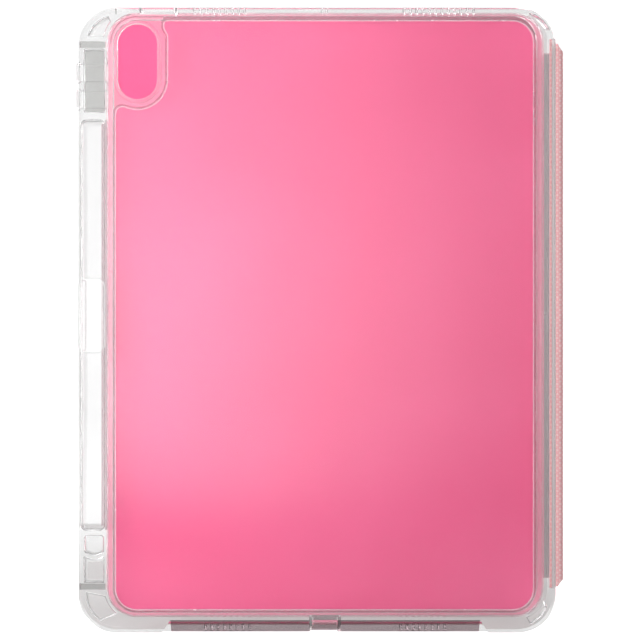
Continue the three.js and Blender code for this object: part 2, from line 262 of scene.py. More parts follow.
def sheet_along(name, path, thickness, span, along=0.0, edge=PLAIN_EDGE):
    """A sheet that follows a path in x and y, with its outer side to the left of the path.

    span(i) gives its lowest and highest z at path point i. edge lists (distance from the end, how much
    thinner the outer side is there). Its UVs are metres along the sheet.
    """
    count = len(path)
    bm = bmesh.new()
    layer = bm.loops.layers.uv.new("weave")
    travelled = [along]
    for (ax, ay), (bx, by) in zip(path, path[1:]):
        travelled.append(travelled[-1] + math.hypot(bx - ax, by - ay))
    outer, inner = [], []
    for i, (x, y) in enumerate(path):
        before, after = path[max(i - 1, 0)], path[min(i + 1, count - 1)]
        way = Vector((after[0] - before[0], after[1] - before[1])).normalized()
        left = Vector((-way.y, way.x))
        low, high = span(i)
        rows = [(low + inset, thin) for inset, thin in edge]
        rows += [(high - inset, thin) for inset, thin in edge[::-1]]
        column_out, column_in = [], []
        for z, thin in rows:
            reach = thickness / 2 - thin
            column_out.append(bm.verts.new(at(x + left.x * reach, y + left.y * reach, z)))
            column_in.append(bm.verts.new(at(x - left.x * thickness / 2, y - left.y * thickness / 2, z)))
        outer.append(column_out)
        inner.append(column_in)
    places = {}
    for i in range(count):
        for column in (outer[i], inner[i]):
            for vert in column:
                places[vert] = (travelled[i] * MM, vert.co.z)
    rows = len(outer[0])

    def quad(*verts):
        face = bm.faces.new(verts)
        for loop in face.loops:
            loop[layer].uv = places[loop.vert]

    for i in range(count - 1):
        for j in range(rows - 1):
            quad(outer[i][j], outer[i + 1][j], outer[i + 1][j + 1], outer[i][j + 1])
            quad(inner[i][j], inner[i][j + 1], inner[i + 1][j + 1], inner[i + 1][j])
        quad(outer[i][0], inner[i][0], inner[i + 1][0], outer[i + 1][0])
        quad(outer[i][-1], outer[i + 1][-1], inner[i + 1][-1], inner[i][-1])
    for j in range(rows - 1):
        quad(outer[0][j], outer[0][j + 1], inner[0][j + 1], inner[0][j])
        quad(outer[-1][j], inner[-1][j], inner[-1][j + 1], outer[-1][j + 1])
    return mesh_object(name, bm)


# the outside corner where the cover turns into the spine
TURN_X, TURN_Y = 98.1, 11.1


def weave_uv(obj):
    """UVs in metres: across the cover, then round the corner and down the spine."""
    mesh = obj.data
    layer = mesh.uv_layers.get("weave") or mesh.uv_layers.new(name="weave")
    corner = at(TURN_X, TURN_Y, 0)
    for face in mesh.polygons:
        for index in face.loop_indices:
            place = mesh.vertices[mesh.loops[index].vertex_index].co
            if abs(face.normal.x) > 0.7:
                layer.data[index].uv = (corner.x + corner.y - place.y, place.z)
            elif abs(face.normal.z) > 0.7:
                layer.data[index].uv = (place.x, place.y)
            else:
                layer.data[index].uv = (place.x, place.z)
    return obj


def bake_modifiers(obj):
    """Replaces a mesh with what its modifiers make of it."""
    graph = bpy.context.evaluated_depsgraph_get()
    mesh = bpy.data.meshes.new_from_object(obj.evaluated_get(graph), depsgraph=graph)
    old = obj.data
    obj.modifiers.clear()
    obj.data = mesh
    bpy.data.meshes.remove(old)


def boolean(obj, others, operation="DIFFERENCE"):
    """Cuts or joins each solid in turn, and removes the solids that were used."""
    for other in others:
        change = obj.modifiers.new("change", "BOOLEAN")
        change.operation = operation
        change.solver = "EXACT"
        change.object = other
        bake_modifiers(obj)
        old = other.data
        bpy.data.objects.remove(other)
        bpy.data.meshes.remove(old)
    return obj


def clean(obj, distance=0.004):
    """Joins points closer than distance, and drops the faces that have no area then."""
    bm = bmesh.new()
    bm.from_mesh(obj.data)
    bmesh.ops.remove_doubles(bm, verts=bm.verts, dist=distance * MM)
    bmesh.ops.dissolve_degenerate(bm, edges=bm.edges, dist=distance * MM)
    bm.to_mesh(obj.data)
    bm.free()


def soften(obj, angle=32):
    """Smooth shading that keeps flat faces flat."""
    for face in obj.data.polygons:
        face.use_smooth = True
    obj.data.set_sharp_from_angle(angle=math.radians(angle))
    weigh = obj.modifiers.new("weigh", "WEIGHTED_NORMAL")
    weigh.keep_sharp = True
    weigh.weight = 80
    bake_modifiers(obj)
    return obj


# ------------------------------------------------------------------ material helpers


class Nodes:
    """A material's node tree, with short ways to add to it."""

    def __init__(self, name):
        self.material = bpy.data.materials.new(name)
        self.material.use_nodes = True
        self.tree = self.material.node_tree
        self.tree.nodes.clear()
        self.out = self.tree.nodes.new("ShaderNodeOutputMaterial")

    def add(self, kind, **settings):
        node = self.tree.nodes.new("ShaderNode" + kind)
        inputs = settings.pop("inputs", {})
        for key, value in settings.items():
            setattr(node, key, value)
        for key, value in inputs.items():
            self.feed(node.inputs[key], value)
        return node

    def feed(self, socket, value):
        if isinstance(value, bpy.types.NodeSocket):
            self.tree.links.new(value, socket)
        elif isinstance(value, bpy.types.Node):
            self.tree.links.new(value.outputs[0], socket)
        else:
            socket.default_value = value

    def math(self, operation, a, b=None, c=None, clamp=False):
        node = self.add("Math", operation=operation, use_clamp=clamp)
        for socket, value in zip(node.inputs, (a, b, c)):
            if value is not None:
                self.feed(socket, value)
        return node.outputs[0]

    def mix(self, factor, a, b):
        node = self.add("Mix", data_type="RGBA")
        self.feed(node.inputs[0], factor)
        self.feed(node.inputs[6], a)
        self.feed(node.inputs[7], b)
        return node.outputs[2]

    def noise(self, scale, detail=2.0, vector=None, roughness=0.5):
        node = self.add("TexNoise", inputs={"Scale": scale, "Detail": detail, "Roughness": roughness})
        if vector is not None:
            self.feed(node.inputs["Vector"], vector)
        return node.outputs["Fac"]

    def spread(self, value, low, high):
        node = self.add("MapRange", inputs={"Value": value, "To Min": low, "To Max": high})
        return node.outputs[0]

    def bump(self, height, strength, distance):
        return self.add("Bump", inputs={"Height": height, "Strength": strength,
                                        "Distance": distance}).outputs[0]


def rgb(r, g, b):
    """A display colour, 0 to 255, as linear light."""
    def linear(v):
        v /= 255
        return v / 12.92 if v <= 0.04045 else ((v + 0.055) / 1.055) ** 2.4
    return (linear(r), linear(g), linear(b), 1.0)


def clear_material(name, tint, transmission, roughness, ripple):
    """Clear moulded plastic. Lamp light passes through it, so what lies behind is lit."""
    n = Nodes(name)
    place = n.add("TexCoord").outputs["Object"]
    height = n.noise(900.0, 1.0, place)
    rough = n.spread(n.noise(140.0, 3.0, place), roughness * 0.7, roughness * 1.3)
    body = n.add("BsdfPrincipled", inputs={
        "Base Color": tint,
        "Roughness": rough,
        "IOR": 1.46,
        "Transmission Weight": transmission,
        "Normal": n.bump(height, ripple, 0.0002),
    })
    passing = n.add("BsdfTransparent", inputs={"Color": (0.93, 0.93, 0.93, 1)})
    shadow = n.add("LightPath").outputs["Is Shadow Ray"]
    mixed = n.add("MixShader", inputs={0: shadow, 1: body.outputs[0], 2: passing.outputs[0]})
    n.feed(n.out.inputs[0], mixed)
    return n.material


def weave_height(n, uv, pitch):
    """Plain weave: which yarn is on top at each crossing, and how high it stands there."""
    split = n.add("SeparateXYZ", inputs={0: uv})
    u = n.math("DIVIDE", split.outputs[0], pitch)
    v = n.math("DIVIDE", split.outputs[1], pitch)
    fu = n.math("SUBTRACT", n.math("FRACT", u), 0.5)
    fv = n.math("SUBTRACT", n.math("FRACT", v), 0.5)
    cell = n.math("ADD", n.math("FLOOR", u), n.math("FLOOR", v))
    over = n.math("FLOORED_MODULO", cell, 2.0)

    def crest(across, along):
        body = n.math("COSINE", n.math("MULTIPLY", across, math.pi))
        rise = n.math("COSINE", n.math("MULTIPLY", along, math.pi))
        return n.math("MULTIPLY", n.math("POWER", n.math("MAXIMUM", body, 0.0), 0.6),
                      n.math("ADD", n.math("MULTIPLY", rise, 0.45), 0.55))

    warp = crest(fu, fv)
    weft = crest(fv, fu)
    difference = n.math("SUBTRACT", warp, weft)
    return n.math("ADD", weft, n.math("MULTIPLY", difference, over)), over


def fabric_material(name, light, dark, pitch):
    """Woven fabric of a light and a dark yarn, which cross every pitch metres."""
    n = Nodes(name)
    uv = n.add("TexCoord").outputs["UV"]
    height, over = weave_height(n, uv, pitch)
    fibre = n.noise(9000.0, 2.0, uv)
    blotch = n.noise(60.0, 3.0, uv)
    # the warp is the light yarn and the weft the dark one; painted shade makes each darker where it dips
    # under the other and lighter on its crests
    tone = n.math("ADD", n.math("MULTIPLY", height, 0.55), n.math("MULTIPLY", over, 0.45))
    tone = n.math("ADD", tone, n.math("MULTIPLY", n.math("SUBTRACT", fibre, 0.5), 0.3))
    tone = n.math("ADD", tone, n.math("MULTIPLY", n.math("SUBTRACT", blotch, 0.5), 0.2), clamp=True)
    colour = n.mix(tone, dark, light)
    relief = n.math("ADD", height, n.math("MULTIPLY", fibre, 0.25))
    body = n.add("BsdfPrincipled", inputs={
        "Base Color": colour,
        "Roughness": n.spread(height, 0.92, 0.68),
        "Sheen Weight": 0.35,
        "Sheen Roughness": 0.5,
        "Specular IOR Level": 0.3,
        "Normal": n.bump(relief, 0.9, 0.00025),
    })
    n.feed(n.out.inputs[0], body)
    return n.material


def lining_material(name, light, dark):
    """Brushed microfibre: short nap in soft patches."""
    n = Nodes(name)
    place = n.add("TexCoord").outputs["Object"]
    stretched = n.add("Mapping", inputs={0: place, "Scale": (1.0, 1.0, 0.45)}).outputs[0]
    nap = n.noise(5200.0, 3.0, stretched)
    patch = n.noise(14.0, 2.0, place)
    tone = n.math("ADD", n.math("MULTIPLY", nap, 0.5), n.math("MULTIPLY", patch, 0.6), clamp=True)
    body = n.add("BsdfPrincipled", inputs={
        "Base Color": n.mix(tone, dark, light),
        "Roughness": n.spread(nap, 0.7, 0.95),
        "Sheen Weight": 0.3,
        "Sheen Roughness": 0.4,
        "Specular IOR Level": 0.25,
        "Normal": n.bump(nap, 0.5, 0.00012),
    })
    n.feed(n.out.inputs[0], body)
    return n.material


def plain_material(name, colour, roughness, metallic=0.0):
    """Board or metal, with a fine speckle."""
    n = Nodes(name)
    place = n.add("TexCoord").outputs["Object"]
    speckle = n.noise(300.0, 4.0, place)
    darker = tuple(c * 0.8 for c in colour[:3]) + (1.0,)
    body = n.add("BsdfPrincipled", inputs={
        "Base Color": n.mix(speckle, darker, colour),
        "Roughness": n.spread(speckle, roughness * 0.8, roughness * 1.1),
        "Metallic": metallic,
        "Normal": n.bump(speckle, 0.3, 0.00008),
    })
    n.feed(n.out.inputs[0], body)
    return n.material


hard_clear = clear_material("hard_clear", (0.985, 0.985, 0.985, 1), 1.0, 0.02, 0.02)
soft_clear = clear_material("soft_clear", (0.95, 0.95, 0.95, 1), 0.93, 0.05, 0.05)
frosted = clear_material("frosted", (0.97, 0.96, 0.96, 1), 0.9, 0.2, 0.1)
# painted shade: the grey tints of the materials below, all but cloudy_clear and milky, stand for shade in
# seams, bars, pocket floors and inlays
shade_tint = clear_material("shade_tint", (0.66, 0.6, 0.62, 1), 1.0, 0.15, 0.05)
deep_shade_tint = clear_material("deep_shade_tint", (0.46, 0.38, 0.4, 1), 0.97, 0.12, 0.05)
grey_shade_clear = clear_material("grey_shade_clear", (0.6, 0.6, 0.59, 1), 0.97, 0.12, 0.05)
cloudy_clear = clear_material("cloudy_clear", (0.99, 0.94, 0.95, 1), 0.45, 0.2, 0.05)
pale_shade_clear = clear_material("pale_shade_clear", (0.86, 0.84, 0.84, 1), 0.95, 0.12, 0.05)
milky = clear_material("milky", (0.98, 0.96, 0.97, 1), 0.78, 0.25, 0.05)
salmon_weave = fabric_material("salmon_weave", rgb(255, 218, 219), rgb(249, 168, 174), 0.00105)
rose_lining = lining_material("rose_lining", rgb(255, 118, 166), rgb(236, 84, 132))
grey_shade_lining = lining_material("grey_shade_lining", rgb(196, 190, 192), rgb(164, 157, 160))
grey_board = plain_material("grey_board", rgb(182, 178, 178), 0.8)
steel = plain_material("steel", rgb(190, 191, 194), 0.35, 1.0)


def dress(obj, material, body, slot, *nodes, onto=None, start=None, end=None):
    """Gives a piece its material and puts it under its body; with onto, its transform is baked into its mesh
    instead. slot, start and end are not used.
    """
    obj.data.materials.clear()
    obj.data.materials.append(material)
    if onto:
        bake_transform(obj)
    else:
        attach(obj, body)
    if nodes:
        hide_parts(*nodes)
    return obj


# ------------------------------------------------------------------ the clear bumper
CHANNEL = {"x": (-100.4, -90.9), "z": (42.3, 211.0), "floor": 7.6}
# the recess for a smoky line of painted shade in the wall between the stylus channel and the bay
WALL_SHADE_LINE = (-90.7, -89.7)
PORT_HALF = 6.6
SCOOP = {"z": 5.2, "y": 3.6, "top": 63.8, "bottom": 67.2}
# the rebate in the right wall that takes the flange and its retainer
REBATE_X = 92.3
REBATE_Y = 5.2
HINGE_Z = (18.3, 244.4)
BUTTONS = {"volume_up": 230.6, "volume_down": 219.5}
# how far a cutter runs out past the face it opens
OVER = 1.2
# depths under the back face of the thin recesses that hold the inlays, and the inlays' play in them
SEAM_DEEP = 0.75
BAR_DEEP = 1.1
INLAY_PLAY = 0.04
POCKET_FLOOR = 6.4
SIDE_POCKET = (-99.2, -90.9, 214.2, 240.2)
# short recesses across the left wall and over the camera's corner, with grey inlays that are painted shade
BARS = {
    "upper_bar": ((-101.1, -90.4), (240.7, 243.4)),
    "lower_bar": ((-101.1, -90.4), (17.7, 20.3)),
    "corner_tick": ((-86.4, -85.8), (254.6, 256.8)),
}
THUMB = {"x": -95.15, "half": 3.75, "top": 39.8, "z": 37.25, "radius": 5.2, "floor": 3.4, "corner": 0.6}
SOUND_SLOT = {"pitch": 2.6, "width": 1.2, "y": 3.5, "tall": 2.6, "deep": 5.5}
# each row of sound slots: the first one's x, how many, and about how high the surface is that it opens
SLOT_ROWS = ((-54.0, 9, Z1), (32.6, 12, Z1), (-49.4, 8, 3.0), (31.2, 8, 3.0))
MICROPHONES = {"x": (-1.3, 0.65), "y": 3.35, "width": 0.9}
TOP_BUTTON = (-76.8, -61.0, 0.9, 6.1)
# openings in the top edge reach this far down, into the bay
TOP_CUT = 4


def pocket(outline, floor, rim=0.35, foot=1.0):
    """A cutter for a pocket in the back face: it widens by rim just under the face, and has a round foot."""
    profile = [(Y_BACK - OVER, rim)]
    rim_steps, foot_steps = 4, 5
    for i in range(rim_steps + 1):
        deep = rim * math.sin(math.pi / 2 * i / rim_steps)
        profile.append((Y_BACK + deep, deep))
    for i in range(foot_steps + 1):
        t = math.pi / 2 * i / foot_steps
        profile.append((floor - foot + foot * math.sin(t), -foot * (1 - math.cos(t))))
    return loft("cut", outline, profile)


def slot_cutters():
    """Sound slots, microphone holes, the top button's slot and the charging port, cut along z."""
    cutters = []
    for first, count, z in SLOT_ROWS:
        for i in range(count):
            x = first + i * SOUND_SLOT["pitch"]
            slot = stadium(x, SOUND_SLOT["y"], SOUND_SLOT["width"], SOUND_SLOT["tall"])
            cutters.append(loft("cut", slot, [(z - SOUND_SLOT["deep"], 0), (z + OVER, 0)], "z"))
    for x in MICROPHONES["x"]:
        hole = stadium(x, MICROPHONES["y"], MICROPHONES["width"], MICROPHONES["width"])
        cutters.append(loft("cut", hole, [(Z1 - TOP_CUT, 0), (Z1 + OVER, 0)], "z"))
    flare = 0.5
    mouth = [(Z1 - TOP_CUT, 0), (Z1 - flare, 0), (Z1, flare), (Z1 + OVER, flare)]
    cutters.append(loft("cut", rounded_rect(*TOP_BUTTON, 2.4), mouth, "z"))
    port = rounded_rect(-PORT_HALF, PORT_HALF, 0.6, 6.4, 2.6)
    cutters.append(loft("cut", port, [(-OVER, 0.4), (0, 0.4), (0.4, 0), (TABLET_Z0 + 2, 0)], "z"))
    return cutters


def corner_line_path(offset):
    """The line over the camera's corner: along the top, round the corner, and a short way down."""
    cx, cz = -TABLET_HALF + TABLET_CORNER, TABLET_Z1 - TABLET_CORNER
    radius = 10.4 + offset
    top = [(-66.4, cz + radius), (-72.0, cz + radius)]
    return top + arc(cx, cz, radius, 90, 180, 20) + [(cx - radius, 242.4 - offset)]


def corner_line(name, half, y0, y1):
    """A thin band along that path."""
    outline = corner_line_path(half) + corner_line_path(-half)[::-1]
    return loft(name, lambda grow: outline, [(y0, 0), (y1, 0)])


def bumper():
    """The soft frame: a rounded block with the tablet's bay, every pocket and every opening cut out of it."""
    profile = fillet(Y_BACK, 1.3) + fillet(Y_FRONT, 0.9, rising=False)
    body = loft("clear_bumper", outer_outline, profile)
    round_in = 0.25
    bay = [(0, -0.6), (round_in, BAY_PLAY), (Y_LIP - round_in, BAY_PLAY), (Y_LIP, -0.6)]
    half = TABLET_HALF - LIP_REACH
    screen = rounded_rect(-half, half, TABLET_Z0 + LIP_REACH, TABLET_Z1 - LIP_REACH,
                          TABLET_CORNER - LIP_REACH)
    # the groove round the plate, with a slanting mouth
    groove = [(Y_BACK - OVER, 0.95), (Y_BACK, 0.95), (Y_BACK + 0.1, 0.78), (Y_BACK + 0.28, 0.7),
              (Y_BACK + 0.85, 0.7)]
    guard = stadium(CAMERA["x"], CAMERA["z"], CAMERA["width"] + 2 * GUARD_WALL,
                    CAMERA["height"] + 2 * GUARD_WALL)
    cutters = [
        loft("cut", tablet_outline, bay),
        loft("cut", screen, [(Y_LIP - 1, 0), (Y_FRONT - 0.5, 0), (Y_FRONT, 0.5), (Y_FRONT + OVER, 0.5)]),
        loft("cut", plate_outline, [(Y_BACK - OVER, 0.1), (1.0, 0.1)]),
        loft("cut", rim_outline, groove),
        corner_line("cut", 0.28, Y_BACK - OVER, Y_BACK + 0.6),
        loft("cut", guard, [(Y_BACK - OVER, 0.1), (1.0, 0.1)]),
        pocket(rounded_rect(*CHANNEL["x"], *CHANNEL["z"], 2.2), CHANNEL["floor"], foot=2.1),
        pocket(free_outline(thumb_recess()), THUMB["floor"], foot=0.8),
        pocket(rounded_rect(*SIDE_POCKET, 0.9), POCKET_FLOOR, foot=0.5),
        pocket(free_outline(lower_pocket()), POCKET_FLOOR, foot=0.5),
        side_band("cut", 0.7, Y_BACK - OVER, Y_BACK + SEAM_DEEP),
        box_solid("cut", WALL_SHADE_LINE, (Y_BACK - OVER, Y_BACK + SEAM_DEEP), CHANNEL["z"]),
    ]
    cutters += [box_solid("cut", xs, (Y_BACK - OVER, Y_BACK + BAR_DEEP), zs) for xs, zs in BARS.values()]
    cutters += [pocket(free_outline(points), POCKET_FLOOR, rim=0.3, foot=0.6) for points in corner_pockets()]
    cutters.append(scoop_cutter())
    cutters.append(box_solid("cut", (REBATE_X, X1 + OVER), (Y_BACK - OVER, REBATE_Y), HINGE_Z))
    for z in BUTTONS.values():
        seat = rounded_rect(0.3, 6.3, z - 4.5, z + 4.5, 0.8)
        cutters.append(loft("cut", seat, [(X0 - OVER, 0), (X0 + 1.0, 0)], "x"))
        hole = rounded_rect(1.6, 5.0, z - 3.8, z + 3.8, 0.4)
        cutters.append(loft("cut", hole, [(X0 - OVER, 0), (-TABLET_HALF + 0.5, 0)], "x"))
    boolean(body, cutters + slot_cutters())
    clean(body)
    return soften(body)


def thumb_recess():
    """A square-topped recess with a shallow round foot."""
    left, right = THUMB["x"] - THUMB["half"], THUMB["x"] + THUMB["half"]
    top, corner = THUMB["top"], THUMB["corner"]
    foot = arc(THUMB["x"], THUMB["z"], THUMB["radius"], -136, -44, 12)
    return foot + [(right, top - corner), (right - corner, top), (left + corner, top), (left, top - corner)]


def lower_pocket():
    """The pocket under the thumb recess. Its top follows the recess's foot."""
    low = 20.8
    roof = arc(THUMB["x"], THUMB["z"], 7.3, -57, -123, 12)
    return [(-98.9, low), (-91.2, low)] + roof


def side_band(name, half, y0, y1):
    """A band beside the tablet's edge, down the spine's side and a little way round both corners."""
    beside, turn = 0.95, 62
    cx, radius = TABLET_HALF - TABLET_CORNER, TABLET_CORNER + beside
    low, high = TABLET_Z0 + TABLET_CORNER, TABLET_Z1 - TABLET_CORNER

    def edge(r):
        return arc(cx, low, r, -turn, 0, 14) + arc(cx, high, r, 0, turn, 14)

    outline = edge(radius + half) + edge(radius - half)[::-1]
    return loft(name, lambda grow: outline, [(y0, 0), (y1, 0)])


def corner_pockets():
    """Outlines of the corners' cushioning pockets: top left, bottom left, top right and bottom right."""
    left, right = X0 + OUTER_CORNER, X1 - OUTER_CORNER
    low, high = Z0 + OUTER_CORNER, Z1 - OUTER_CORNER
    inner = TABLET_HALF - TABLET_CORNER
    bottom, top = TABLET_Z0 + TABLET_CORNER, TABLET_Z1 - TABLET_CORNER
    # radii of the pockets' sides: the outer one on the left and on the right, and the one along the bay
    wall = OUTER_CORNER - 3.4
    thin = OUTER_CORNER - 1.3
    bay = TABLET_CORNER + 1.4
    return [
        [(-91.3, 245.5)] + arc(-inner, top, TABLET_CORNER + 1.7, 168, 142, 8)
        + arc(left, high, wall, 106, 162, 12) + [(-97.7, 245.5)],
        [(-98.2, 16.4)] + arc(left, low, wall, 188, 238, 10) + arc(-inner, bottom, bay, 232, 196, 8),
        arc(right, high, thin, 62, 26, 8)[::-1] + arc(inner, top, bay, 62, 26, 8),
        arc(right, low, thin - 1.6, -24, -66, 8)[::-1] + arc(inner, bottom, bay, -24, -66, 8),
    ]


def scoop_cutter():
    """The slanting cut along the bottom that bares the port and the sound slots."""
    deep = 2.0
    ramp = [(Y_BACK - deep, SCOOP["z"] + 1.2), (Y_BACK, SCOOP["z"]), (SCOOP["y"], 0.0),
            (SCOOP["y"], -deep), (Y_BACK - deep, -deep)]
    cutter = loft("cut", lambda grow: ramp, [(-SCOOP["bottom"], 0), (SCOOP["bottom"], 0)], "x")
    ends = [(-SCOOP["bottom"], -3), (SCOOP["bottom"], -3), (SCOOP["bottom"], 0), (SCOOP["top"], SCOOP["z"]),
            (SCOOP["top"] - 1, 8), (-SCOOP["top"] + 1, 8), (-SCOOP["top"], SCOOP["z"]), (-SCOOP["bottom"], 0)]
    keep = loft("keep", lambda grow: ends, [(Y_BACK - 3, 0), (Y_FRONT, 0)])
    return boolean(cutter, [keep], "INTERSECT")


dress(bumper(), soft_clear, "shell", "clear_soft", "bumper_frame")

# ------------------------------------------------------------------ back plate and camera guard
plate_profile = [(Y_BACK, -0.72), (Y_BACK + 0.08, -0.62), (Y_BACK + 0.36, -0.6), (Y_BACK + 0.4, -0.02),
                 (-0.1, 0.0), (0.0, -0.1)]
plate = soften(loft("clear_back", plate_outline, plate_profile))
dress(plate, hard_clear, "shell", "clear_hard", "back_plate")


def plate_highlight_bead():
    """A milky bead along the plate's edge: a painted highlight for the rim's light line."""
    profile = [(Y_BACK + 0.36, -0.54), (Y_BACK + 0.1, -0.54), (Y_BACK, -0.42), (Y_BACK, -0.16),
               (Y_BACK + 0.1, -0.02), (Y_BACK + 0.36, -0.02)]
    return soften(ring("plate_highlight_bead", [(plate_outline, y, grow) for y, grow in profile]), 50)


dress(plate_highlight_bead(), milky, "shell", "frosted_soft")


def camera_guard():
    """A frosted ring, rounded at its crest, round the camera window."""
    window = stadium(CAMERA["x"], CAMERA["z"], CAMERA["width"], CAMERA["height"])
    crest = node_box("camera_guard")[1][0]
    profile = [(0.0, 0.1), (-1.2, 0.1), (crest + 0.5, 0.05), (crest + 0.15, 0.2), (crest, 0.5),
               (crest + 0.06, 0.8), (crest + 0.3, 1.1), (crest + 0.75, 1.4), (Y_BACK + 0.05, 1.62),
               (0.0, 1.62)]
    return soften(ring("camera_ring", [(window, y, grow) for y, grow in profile]), 50)


dress(camera_guard(), frosted, "shell", "frosted_soft", "camera_guard")

# ------------------------------------------------------------------ strap over the stylus channel
(bx0, bx1), (by0, by1), (bz0, bz1) = node_box("stylus_bridge")
CHAMFER = (2.2, 2.6)
STRAP_CORNER = 2.5
strap_right = bx1 - 0.6
strap_outline = free_outline(
    arc(bx0 + STRAP_CORNER, bz0 + STRAP_CORNER, STRAP_CORNER, 180, 270, 8)
    + [(strap_right - CHAMFER[0], bz0), (strap_right, bz0 + CHAMFER[1])]
    + [(strap_right, bz1 - CHAMFER[1]), (strap_right - CHAMFER[0], bz1)]
    + arc(bx0 + STRAP_CORNER, bz1 - STRAP_CORNER, STRAP_CORNER, 90, 180, 8)
)
strap = soften(loft("channel_strap", strap_outline,
                    fillet(by0, 0.45) + fillet(by1, 0.2, rising=False)))
dress(strap, soft_clear, "shell", "clear_soft", "stylus_bridge")


def strap_shade_loop():
    """Two fine smoky ribs joined in a loop at the strap's left end: painted shade lines."""
    wide = rounded_rect(bx0 + 1.4, bx0 + 3.3, bz0 + 0.9, bz1 - 0.9, 0.9)
    profile = [(by0 + 0.05, 0.0), (by0 - 0.12, -0.05), (by0 - 0.12, -0.28), (by0 + 0.05, -0.33)]
    return soften(ring("strap_shade_loop", [(wide, y, grow) for y, grow in profile]), 50)


dress(strap_shade_loop(), shade_tint, "shell", "clear_soft")
# a fine smoky line along the strap's right end: painted shade
end_z0, end_z1 = bz0 + CHAMFER[1] + 0.4, bz1 - CHAMFER[1] - 0.4
strap_end_shade = loft("strap_end_shade", rounded_rect(bx1 - 1.25, bx1 - 0.8, end_z0, end_z1, 0.2),
                 [(by0 - 0.1, -0.05), (by0 - 0.05, 0.0), (by0 + 0.05, 0.0)])
dress(soften(strap_end_shade), shade_tint, "shell", "clear_soft")

# ------------------------------------------------------------------ volume buttons


def side_button(name, z):
    """A round-edged cap outside the wall, and a stem that reaches in to the tablet's own button."""
    x0 = node_box(name + "_button")[0][0]
    cap = loft(name + "_cap", rounded_rect(0.6, 6.0, z - 4.2, z + 4.2, 1.2),
               fillet(x0, 0.7) + [(x0 + 1.3, 0)], "x")
    stem = loft("stem", rounded_rect(1.9, 4.7, z - 3.5, z + 3.5, 0.5),
                [(x0 + 1.0, 0), (-TABLET_HALF - 0.9, 0), (-TABLET_HALF - 0.7, -0.2)], "x")
    return soften(boolean(cap, [stem], "UNION"))


for key, height in BUTTONS.items():
    dress(side_button(key, height), soft_clear, key, "clear_soft", key + "_button")

# ------------------------------------------------------------------ seams and inlays in the clear plastic, most of them painted shade


def groove_shade_seam():
    """A thin smoky ring in the groove where the rigid plate meets the soft bumper: painted shade that darkens
    the groove.
    """
    low, high = Y_BACK + 0.82, Y_BACK + 0.5
    sections = [(plate_outline, low, 0.06), (plate_outline, high, 0.06), (rim_outline, high, 0.64),
                (rim_outline, low, 0.64)]
    return soften(ring("plate_shade_seam", sections), 50)


def drawn_in(span):
    """A recess's span, less the inlay's play at both ends."""
    return span[0] + INLAY_PLAY, span[1] - INLAY_PLAY


dress(groove_shade_seam(), shade_tint, "shell", "clear_soft")
# painted shade: a smoky line over the camera's corner
corner_shade_line = corner_line("corner_shade_line", 0.26, Y_BACK + 0.3, Y_BACK + 0.55)
dress(soften(corner_shade_line), shade_tint, "shell", "clear_soft")
SEAM_Y = (Y_BACK + 0.45, Y_BACK + 0.72)
# painted shade: a pale grey band down the right side and round its corners
dress(soften(side_band("side_shade_band", 0.66, *SEAM_Y)), pale_shade_clear, "shell", "clear_soft")
for name, (xs, zs) in BARS.items():
    bar = box_solid(name, drawn_in(xs), (Y_BACK + 0.5, Y_BACK + 1.06), drawn_in(zs))
    dress(soften(bar), grey_shade_clear, "shell", "clear_soft")


def pocket_shade_floors():
    """Thin grey floors of the two side pockets: painted shade that greys the pockets."""
    upper = loft("upper_pocket_floor", rounded_rect(-99.0, -91.1, 214.4, 240.0, 0.7),
                 [(0.6, -0.05), (0.65, 0), (1.1, 0)])
    lower = loft("lower_pocket_floor", rounded_rect(-98.4, -91.7, 21.4, 28.6, 0.6),
                 [(5.2, -0.05), (5.25, 0), (5.8, 0)])
    return upper, lower


for inlay, material in zip(pocket_shade_floors(), (grey_shade_clear, pale_shade_clear)):
    dress(soften(inlay), material, "shell", "clear_soft")

# painted shade: two smoky lines along the stylus channel's right side
channel_shade_rib = loft("channel_shade_rib", rounded_rect(-92.3, -91.1, 43.6, 209.8, 0.4),
                   fillet(1.6, 0.4, steps=3) + [(5.6, 0)])
dress(soften(channel_shade_rib), shade_tint, "shell", "clear_soft")
channel_shade_line = box_solid("channel_shade_line", drawn_in(WALL_SHADE_LINE), SEAM_Y, drawn_in(CHANNEL["z"]))
dress(soften(channel_shade_line), shade_tint, "shell", "clear_soft")


def scoop_shade_inlays():
    """A smoky layer on the slanting cut along the bottom, on each side of the port: painted shade that
    darkens the cut.
    """
    way = Vector((SCOOP["y"] - Y_BACK, -SCOOP["z"])).normalized()
    out = Vector((way.y, -way.x))
    inset, lift, thick = 0.15, 0.03, 0.3
    start = Vector((Y_BACK, SCOOP["z"])) + way * inset
    end = Vector((SCOOP["y"], 0.0)) - way * inset
    near, far = out * lift, out * thick
    corners = [start + near, end + near, end + far, start + far]
    points = [(c.x, c.y) for c in corners]
    for name, x0, x1 in (("scoop_shade_left", -SCOOP["top"] + 0.2, -PORT_HALF + 0.3),
                         ("scoop_shade_right", PORT_HALF - 1.5, SCOOP["top"] - 0.2)):
        yield loft(name, lambda grow: points, [(x0, 0), (x1, 0)], "x")


for inlay in scoop_shade_inlays():
    dress(soften(inlay), deep_shade_tint, "shell", "clear_soft")
# a thin dark plate against the front wall of the port's opening: painted shade inside the opening
backing = loft("port_shade_plate", rounded_rect(-PORT_HALF + 0.9, PORT_HALF - 0.9, 0.35, TABLET_Z0 - 0.4, 0.3),
               [(5.95, -0.05), (6.0, 0.0), (6.3, 0.0)])
dress(soften(backing), deep_shade_tint, "shell", "clear_soft")
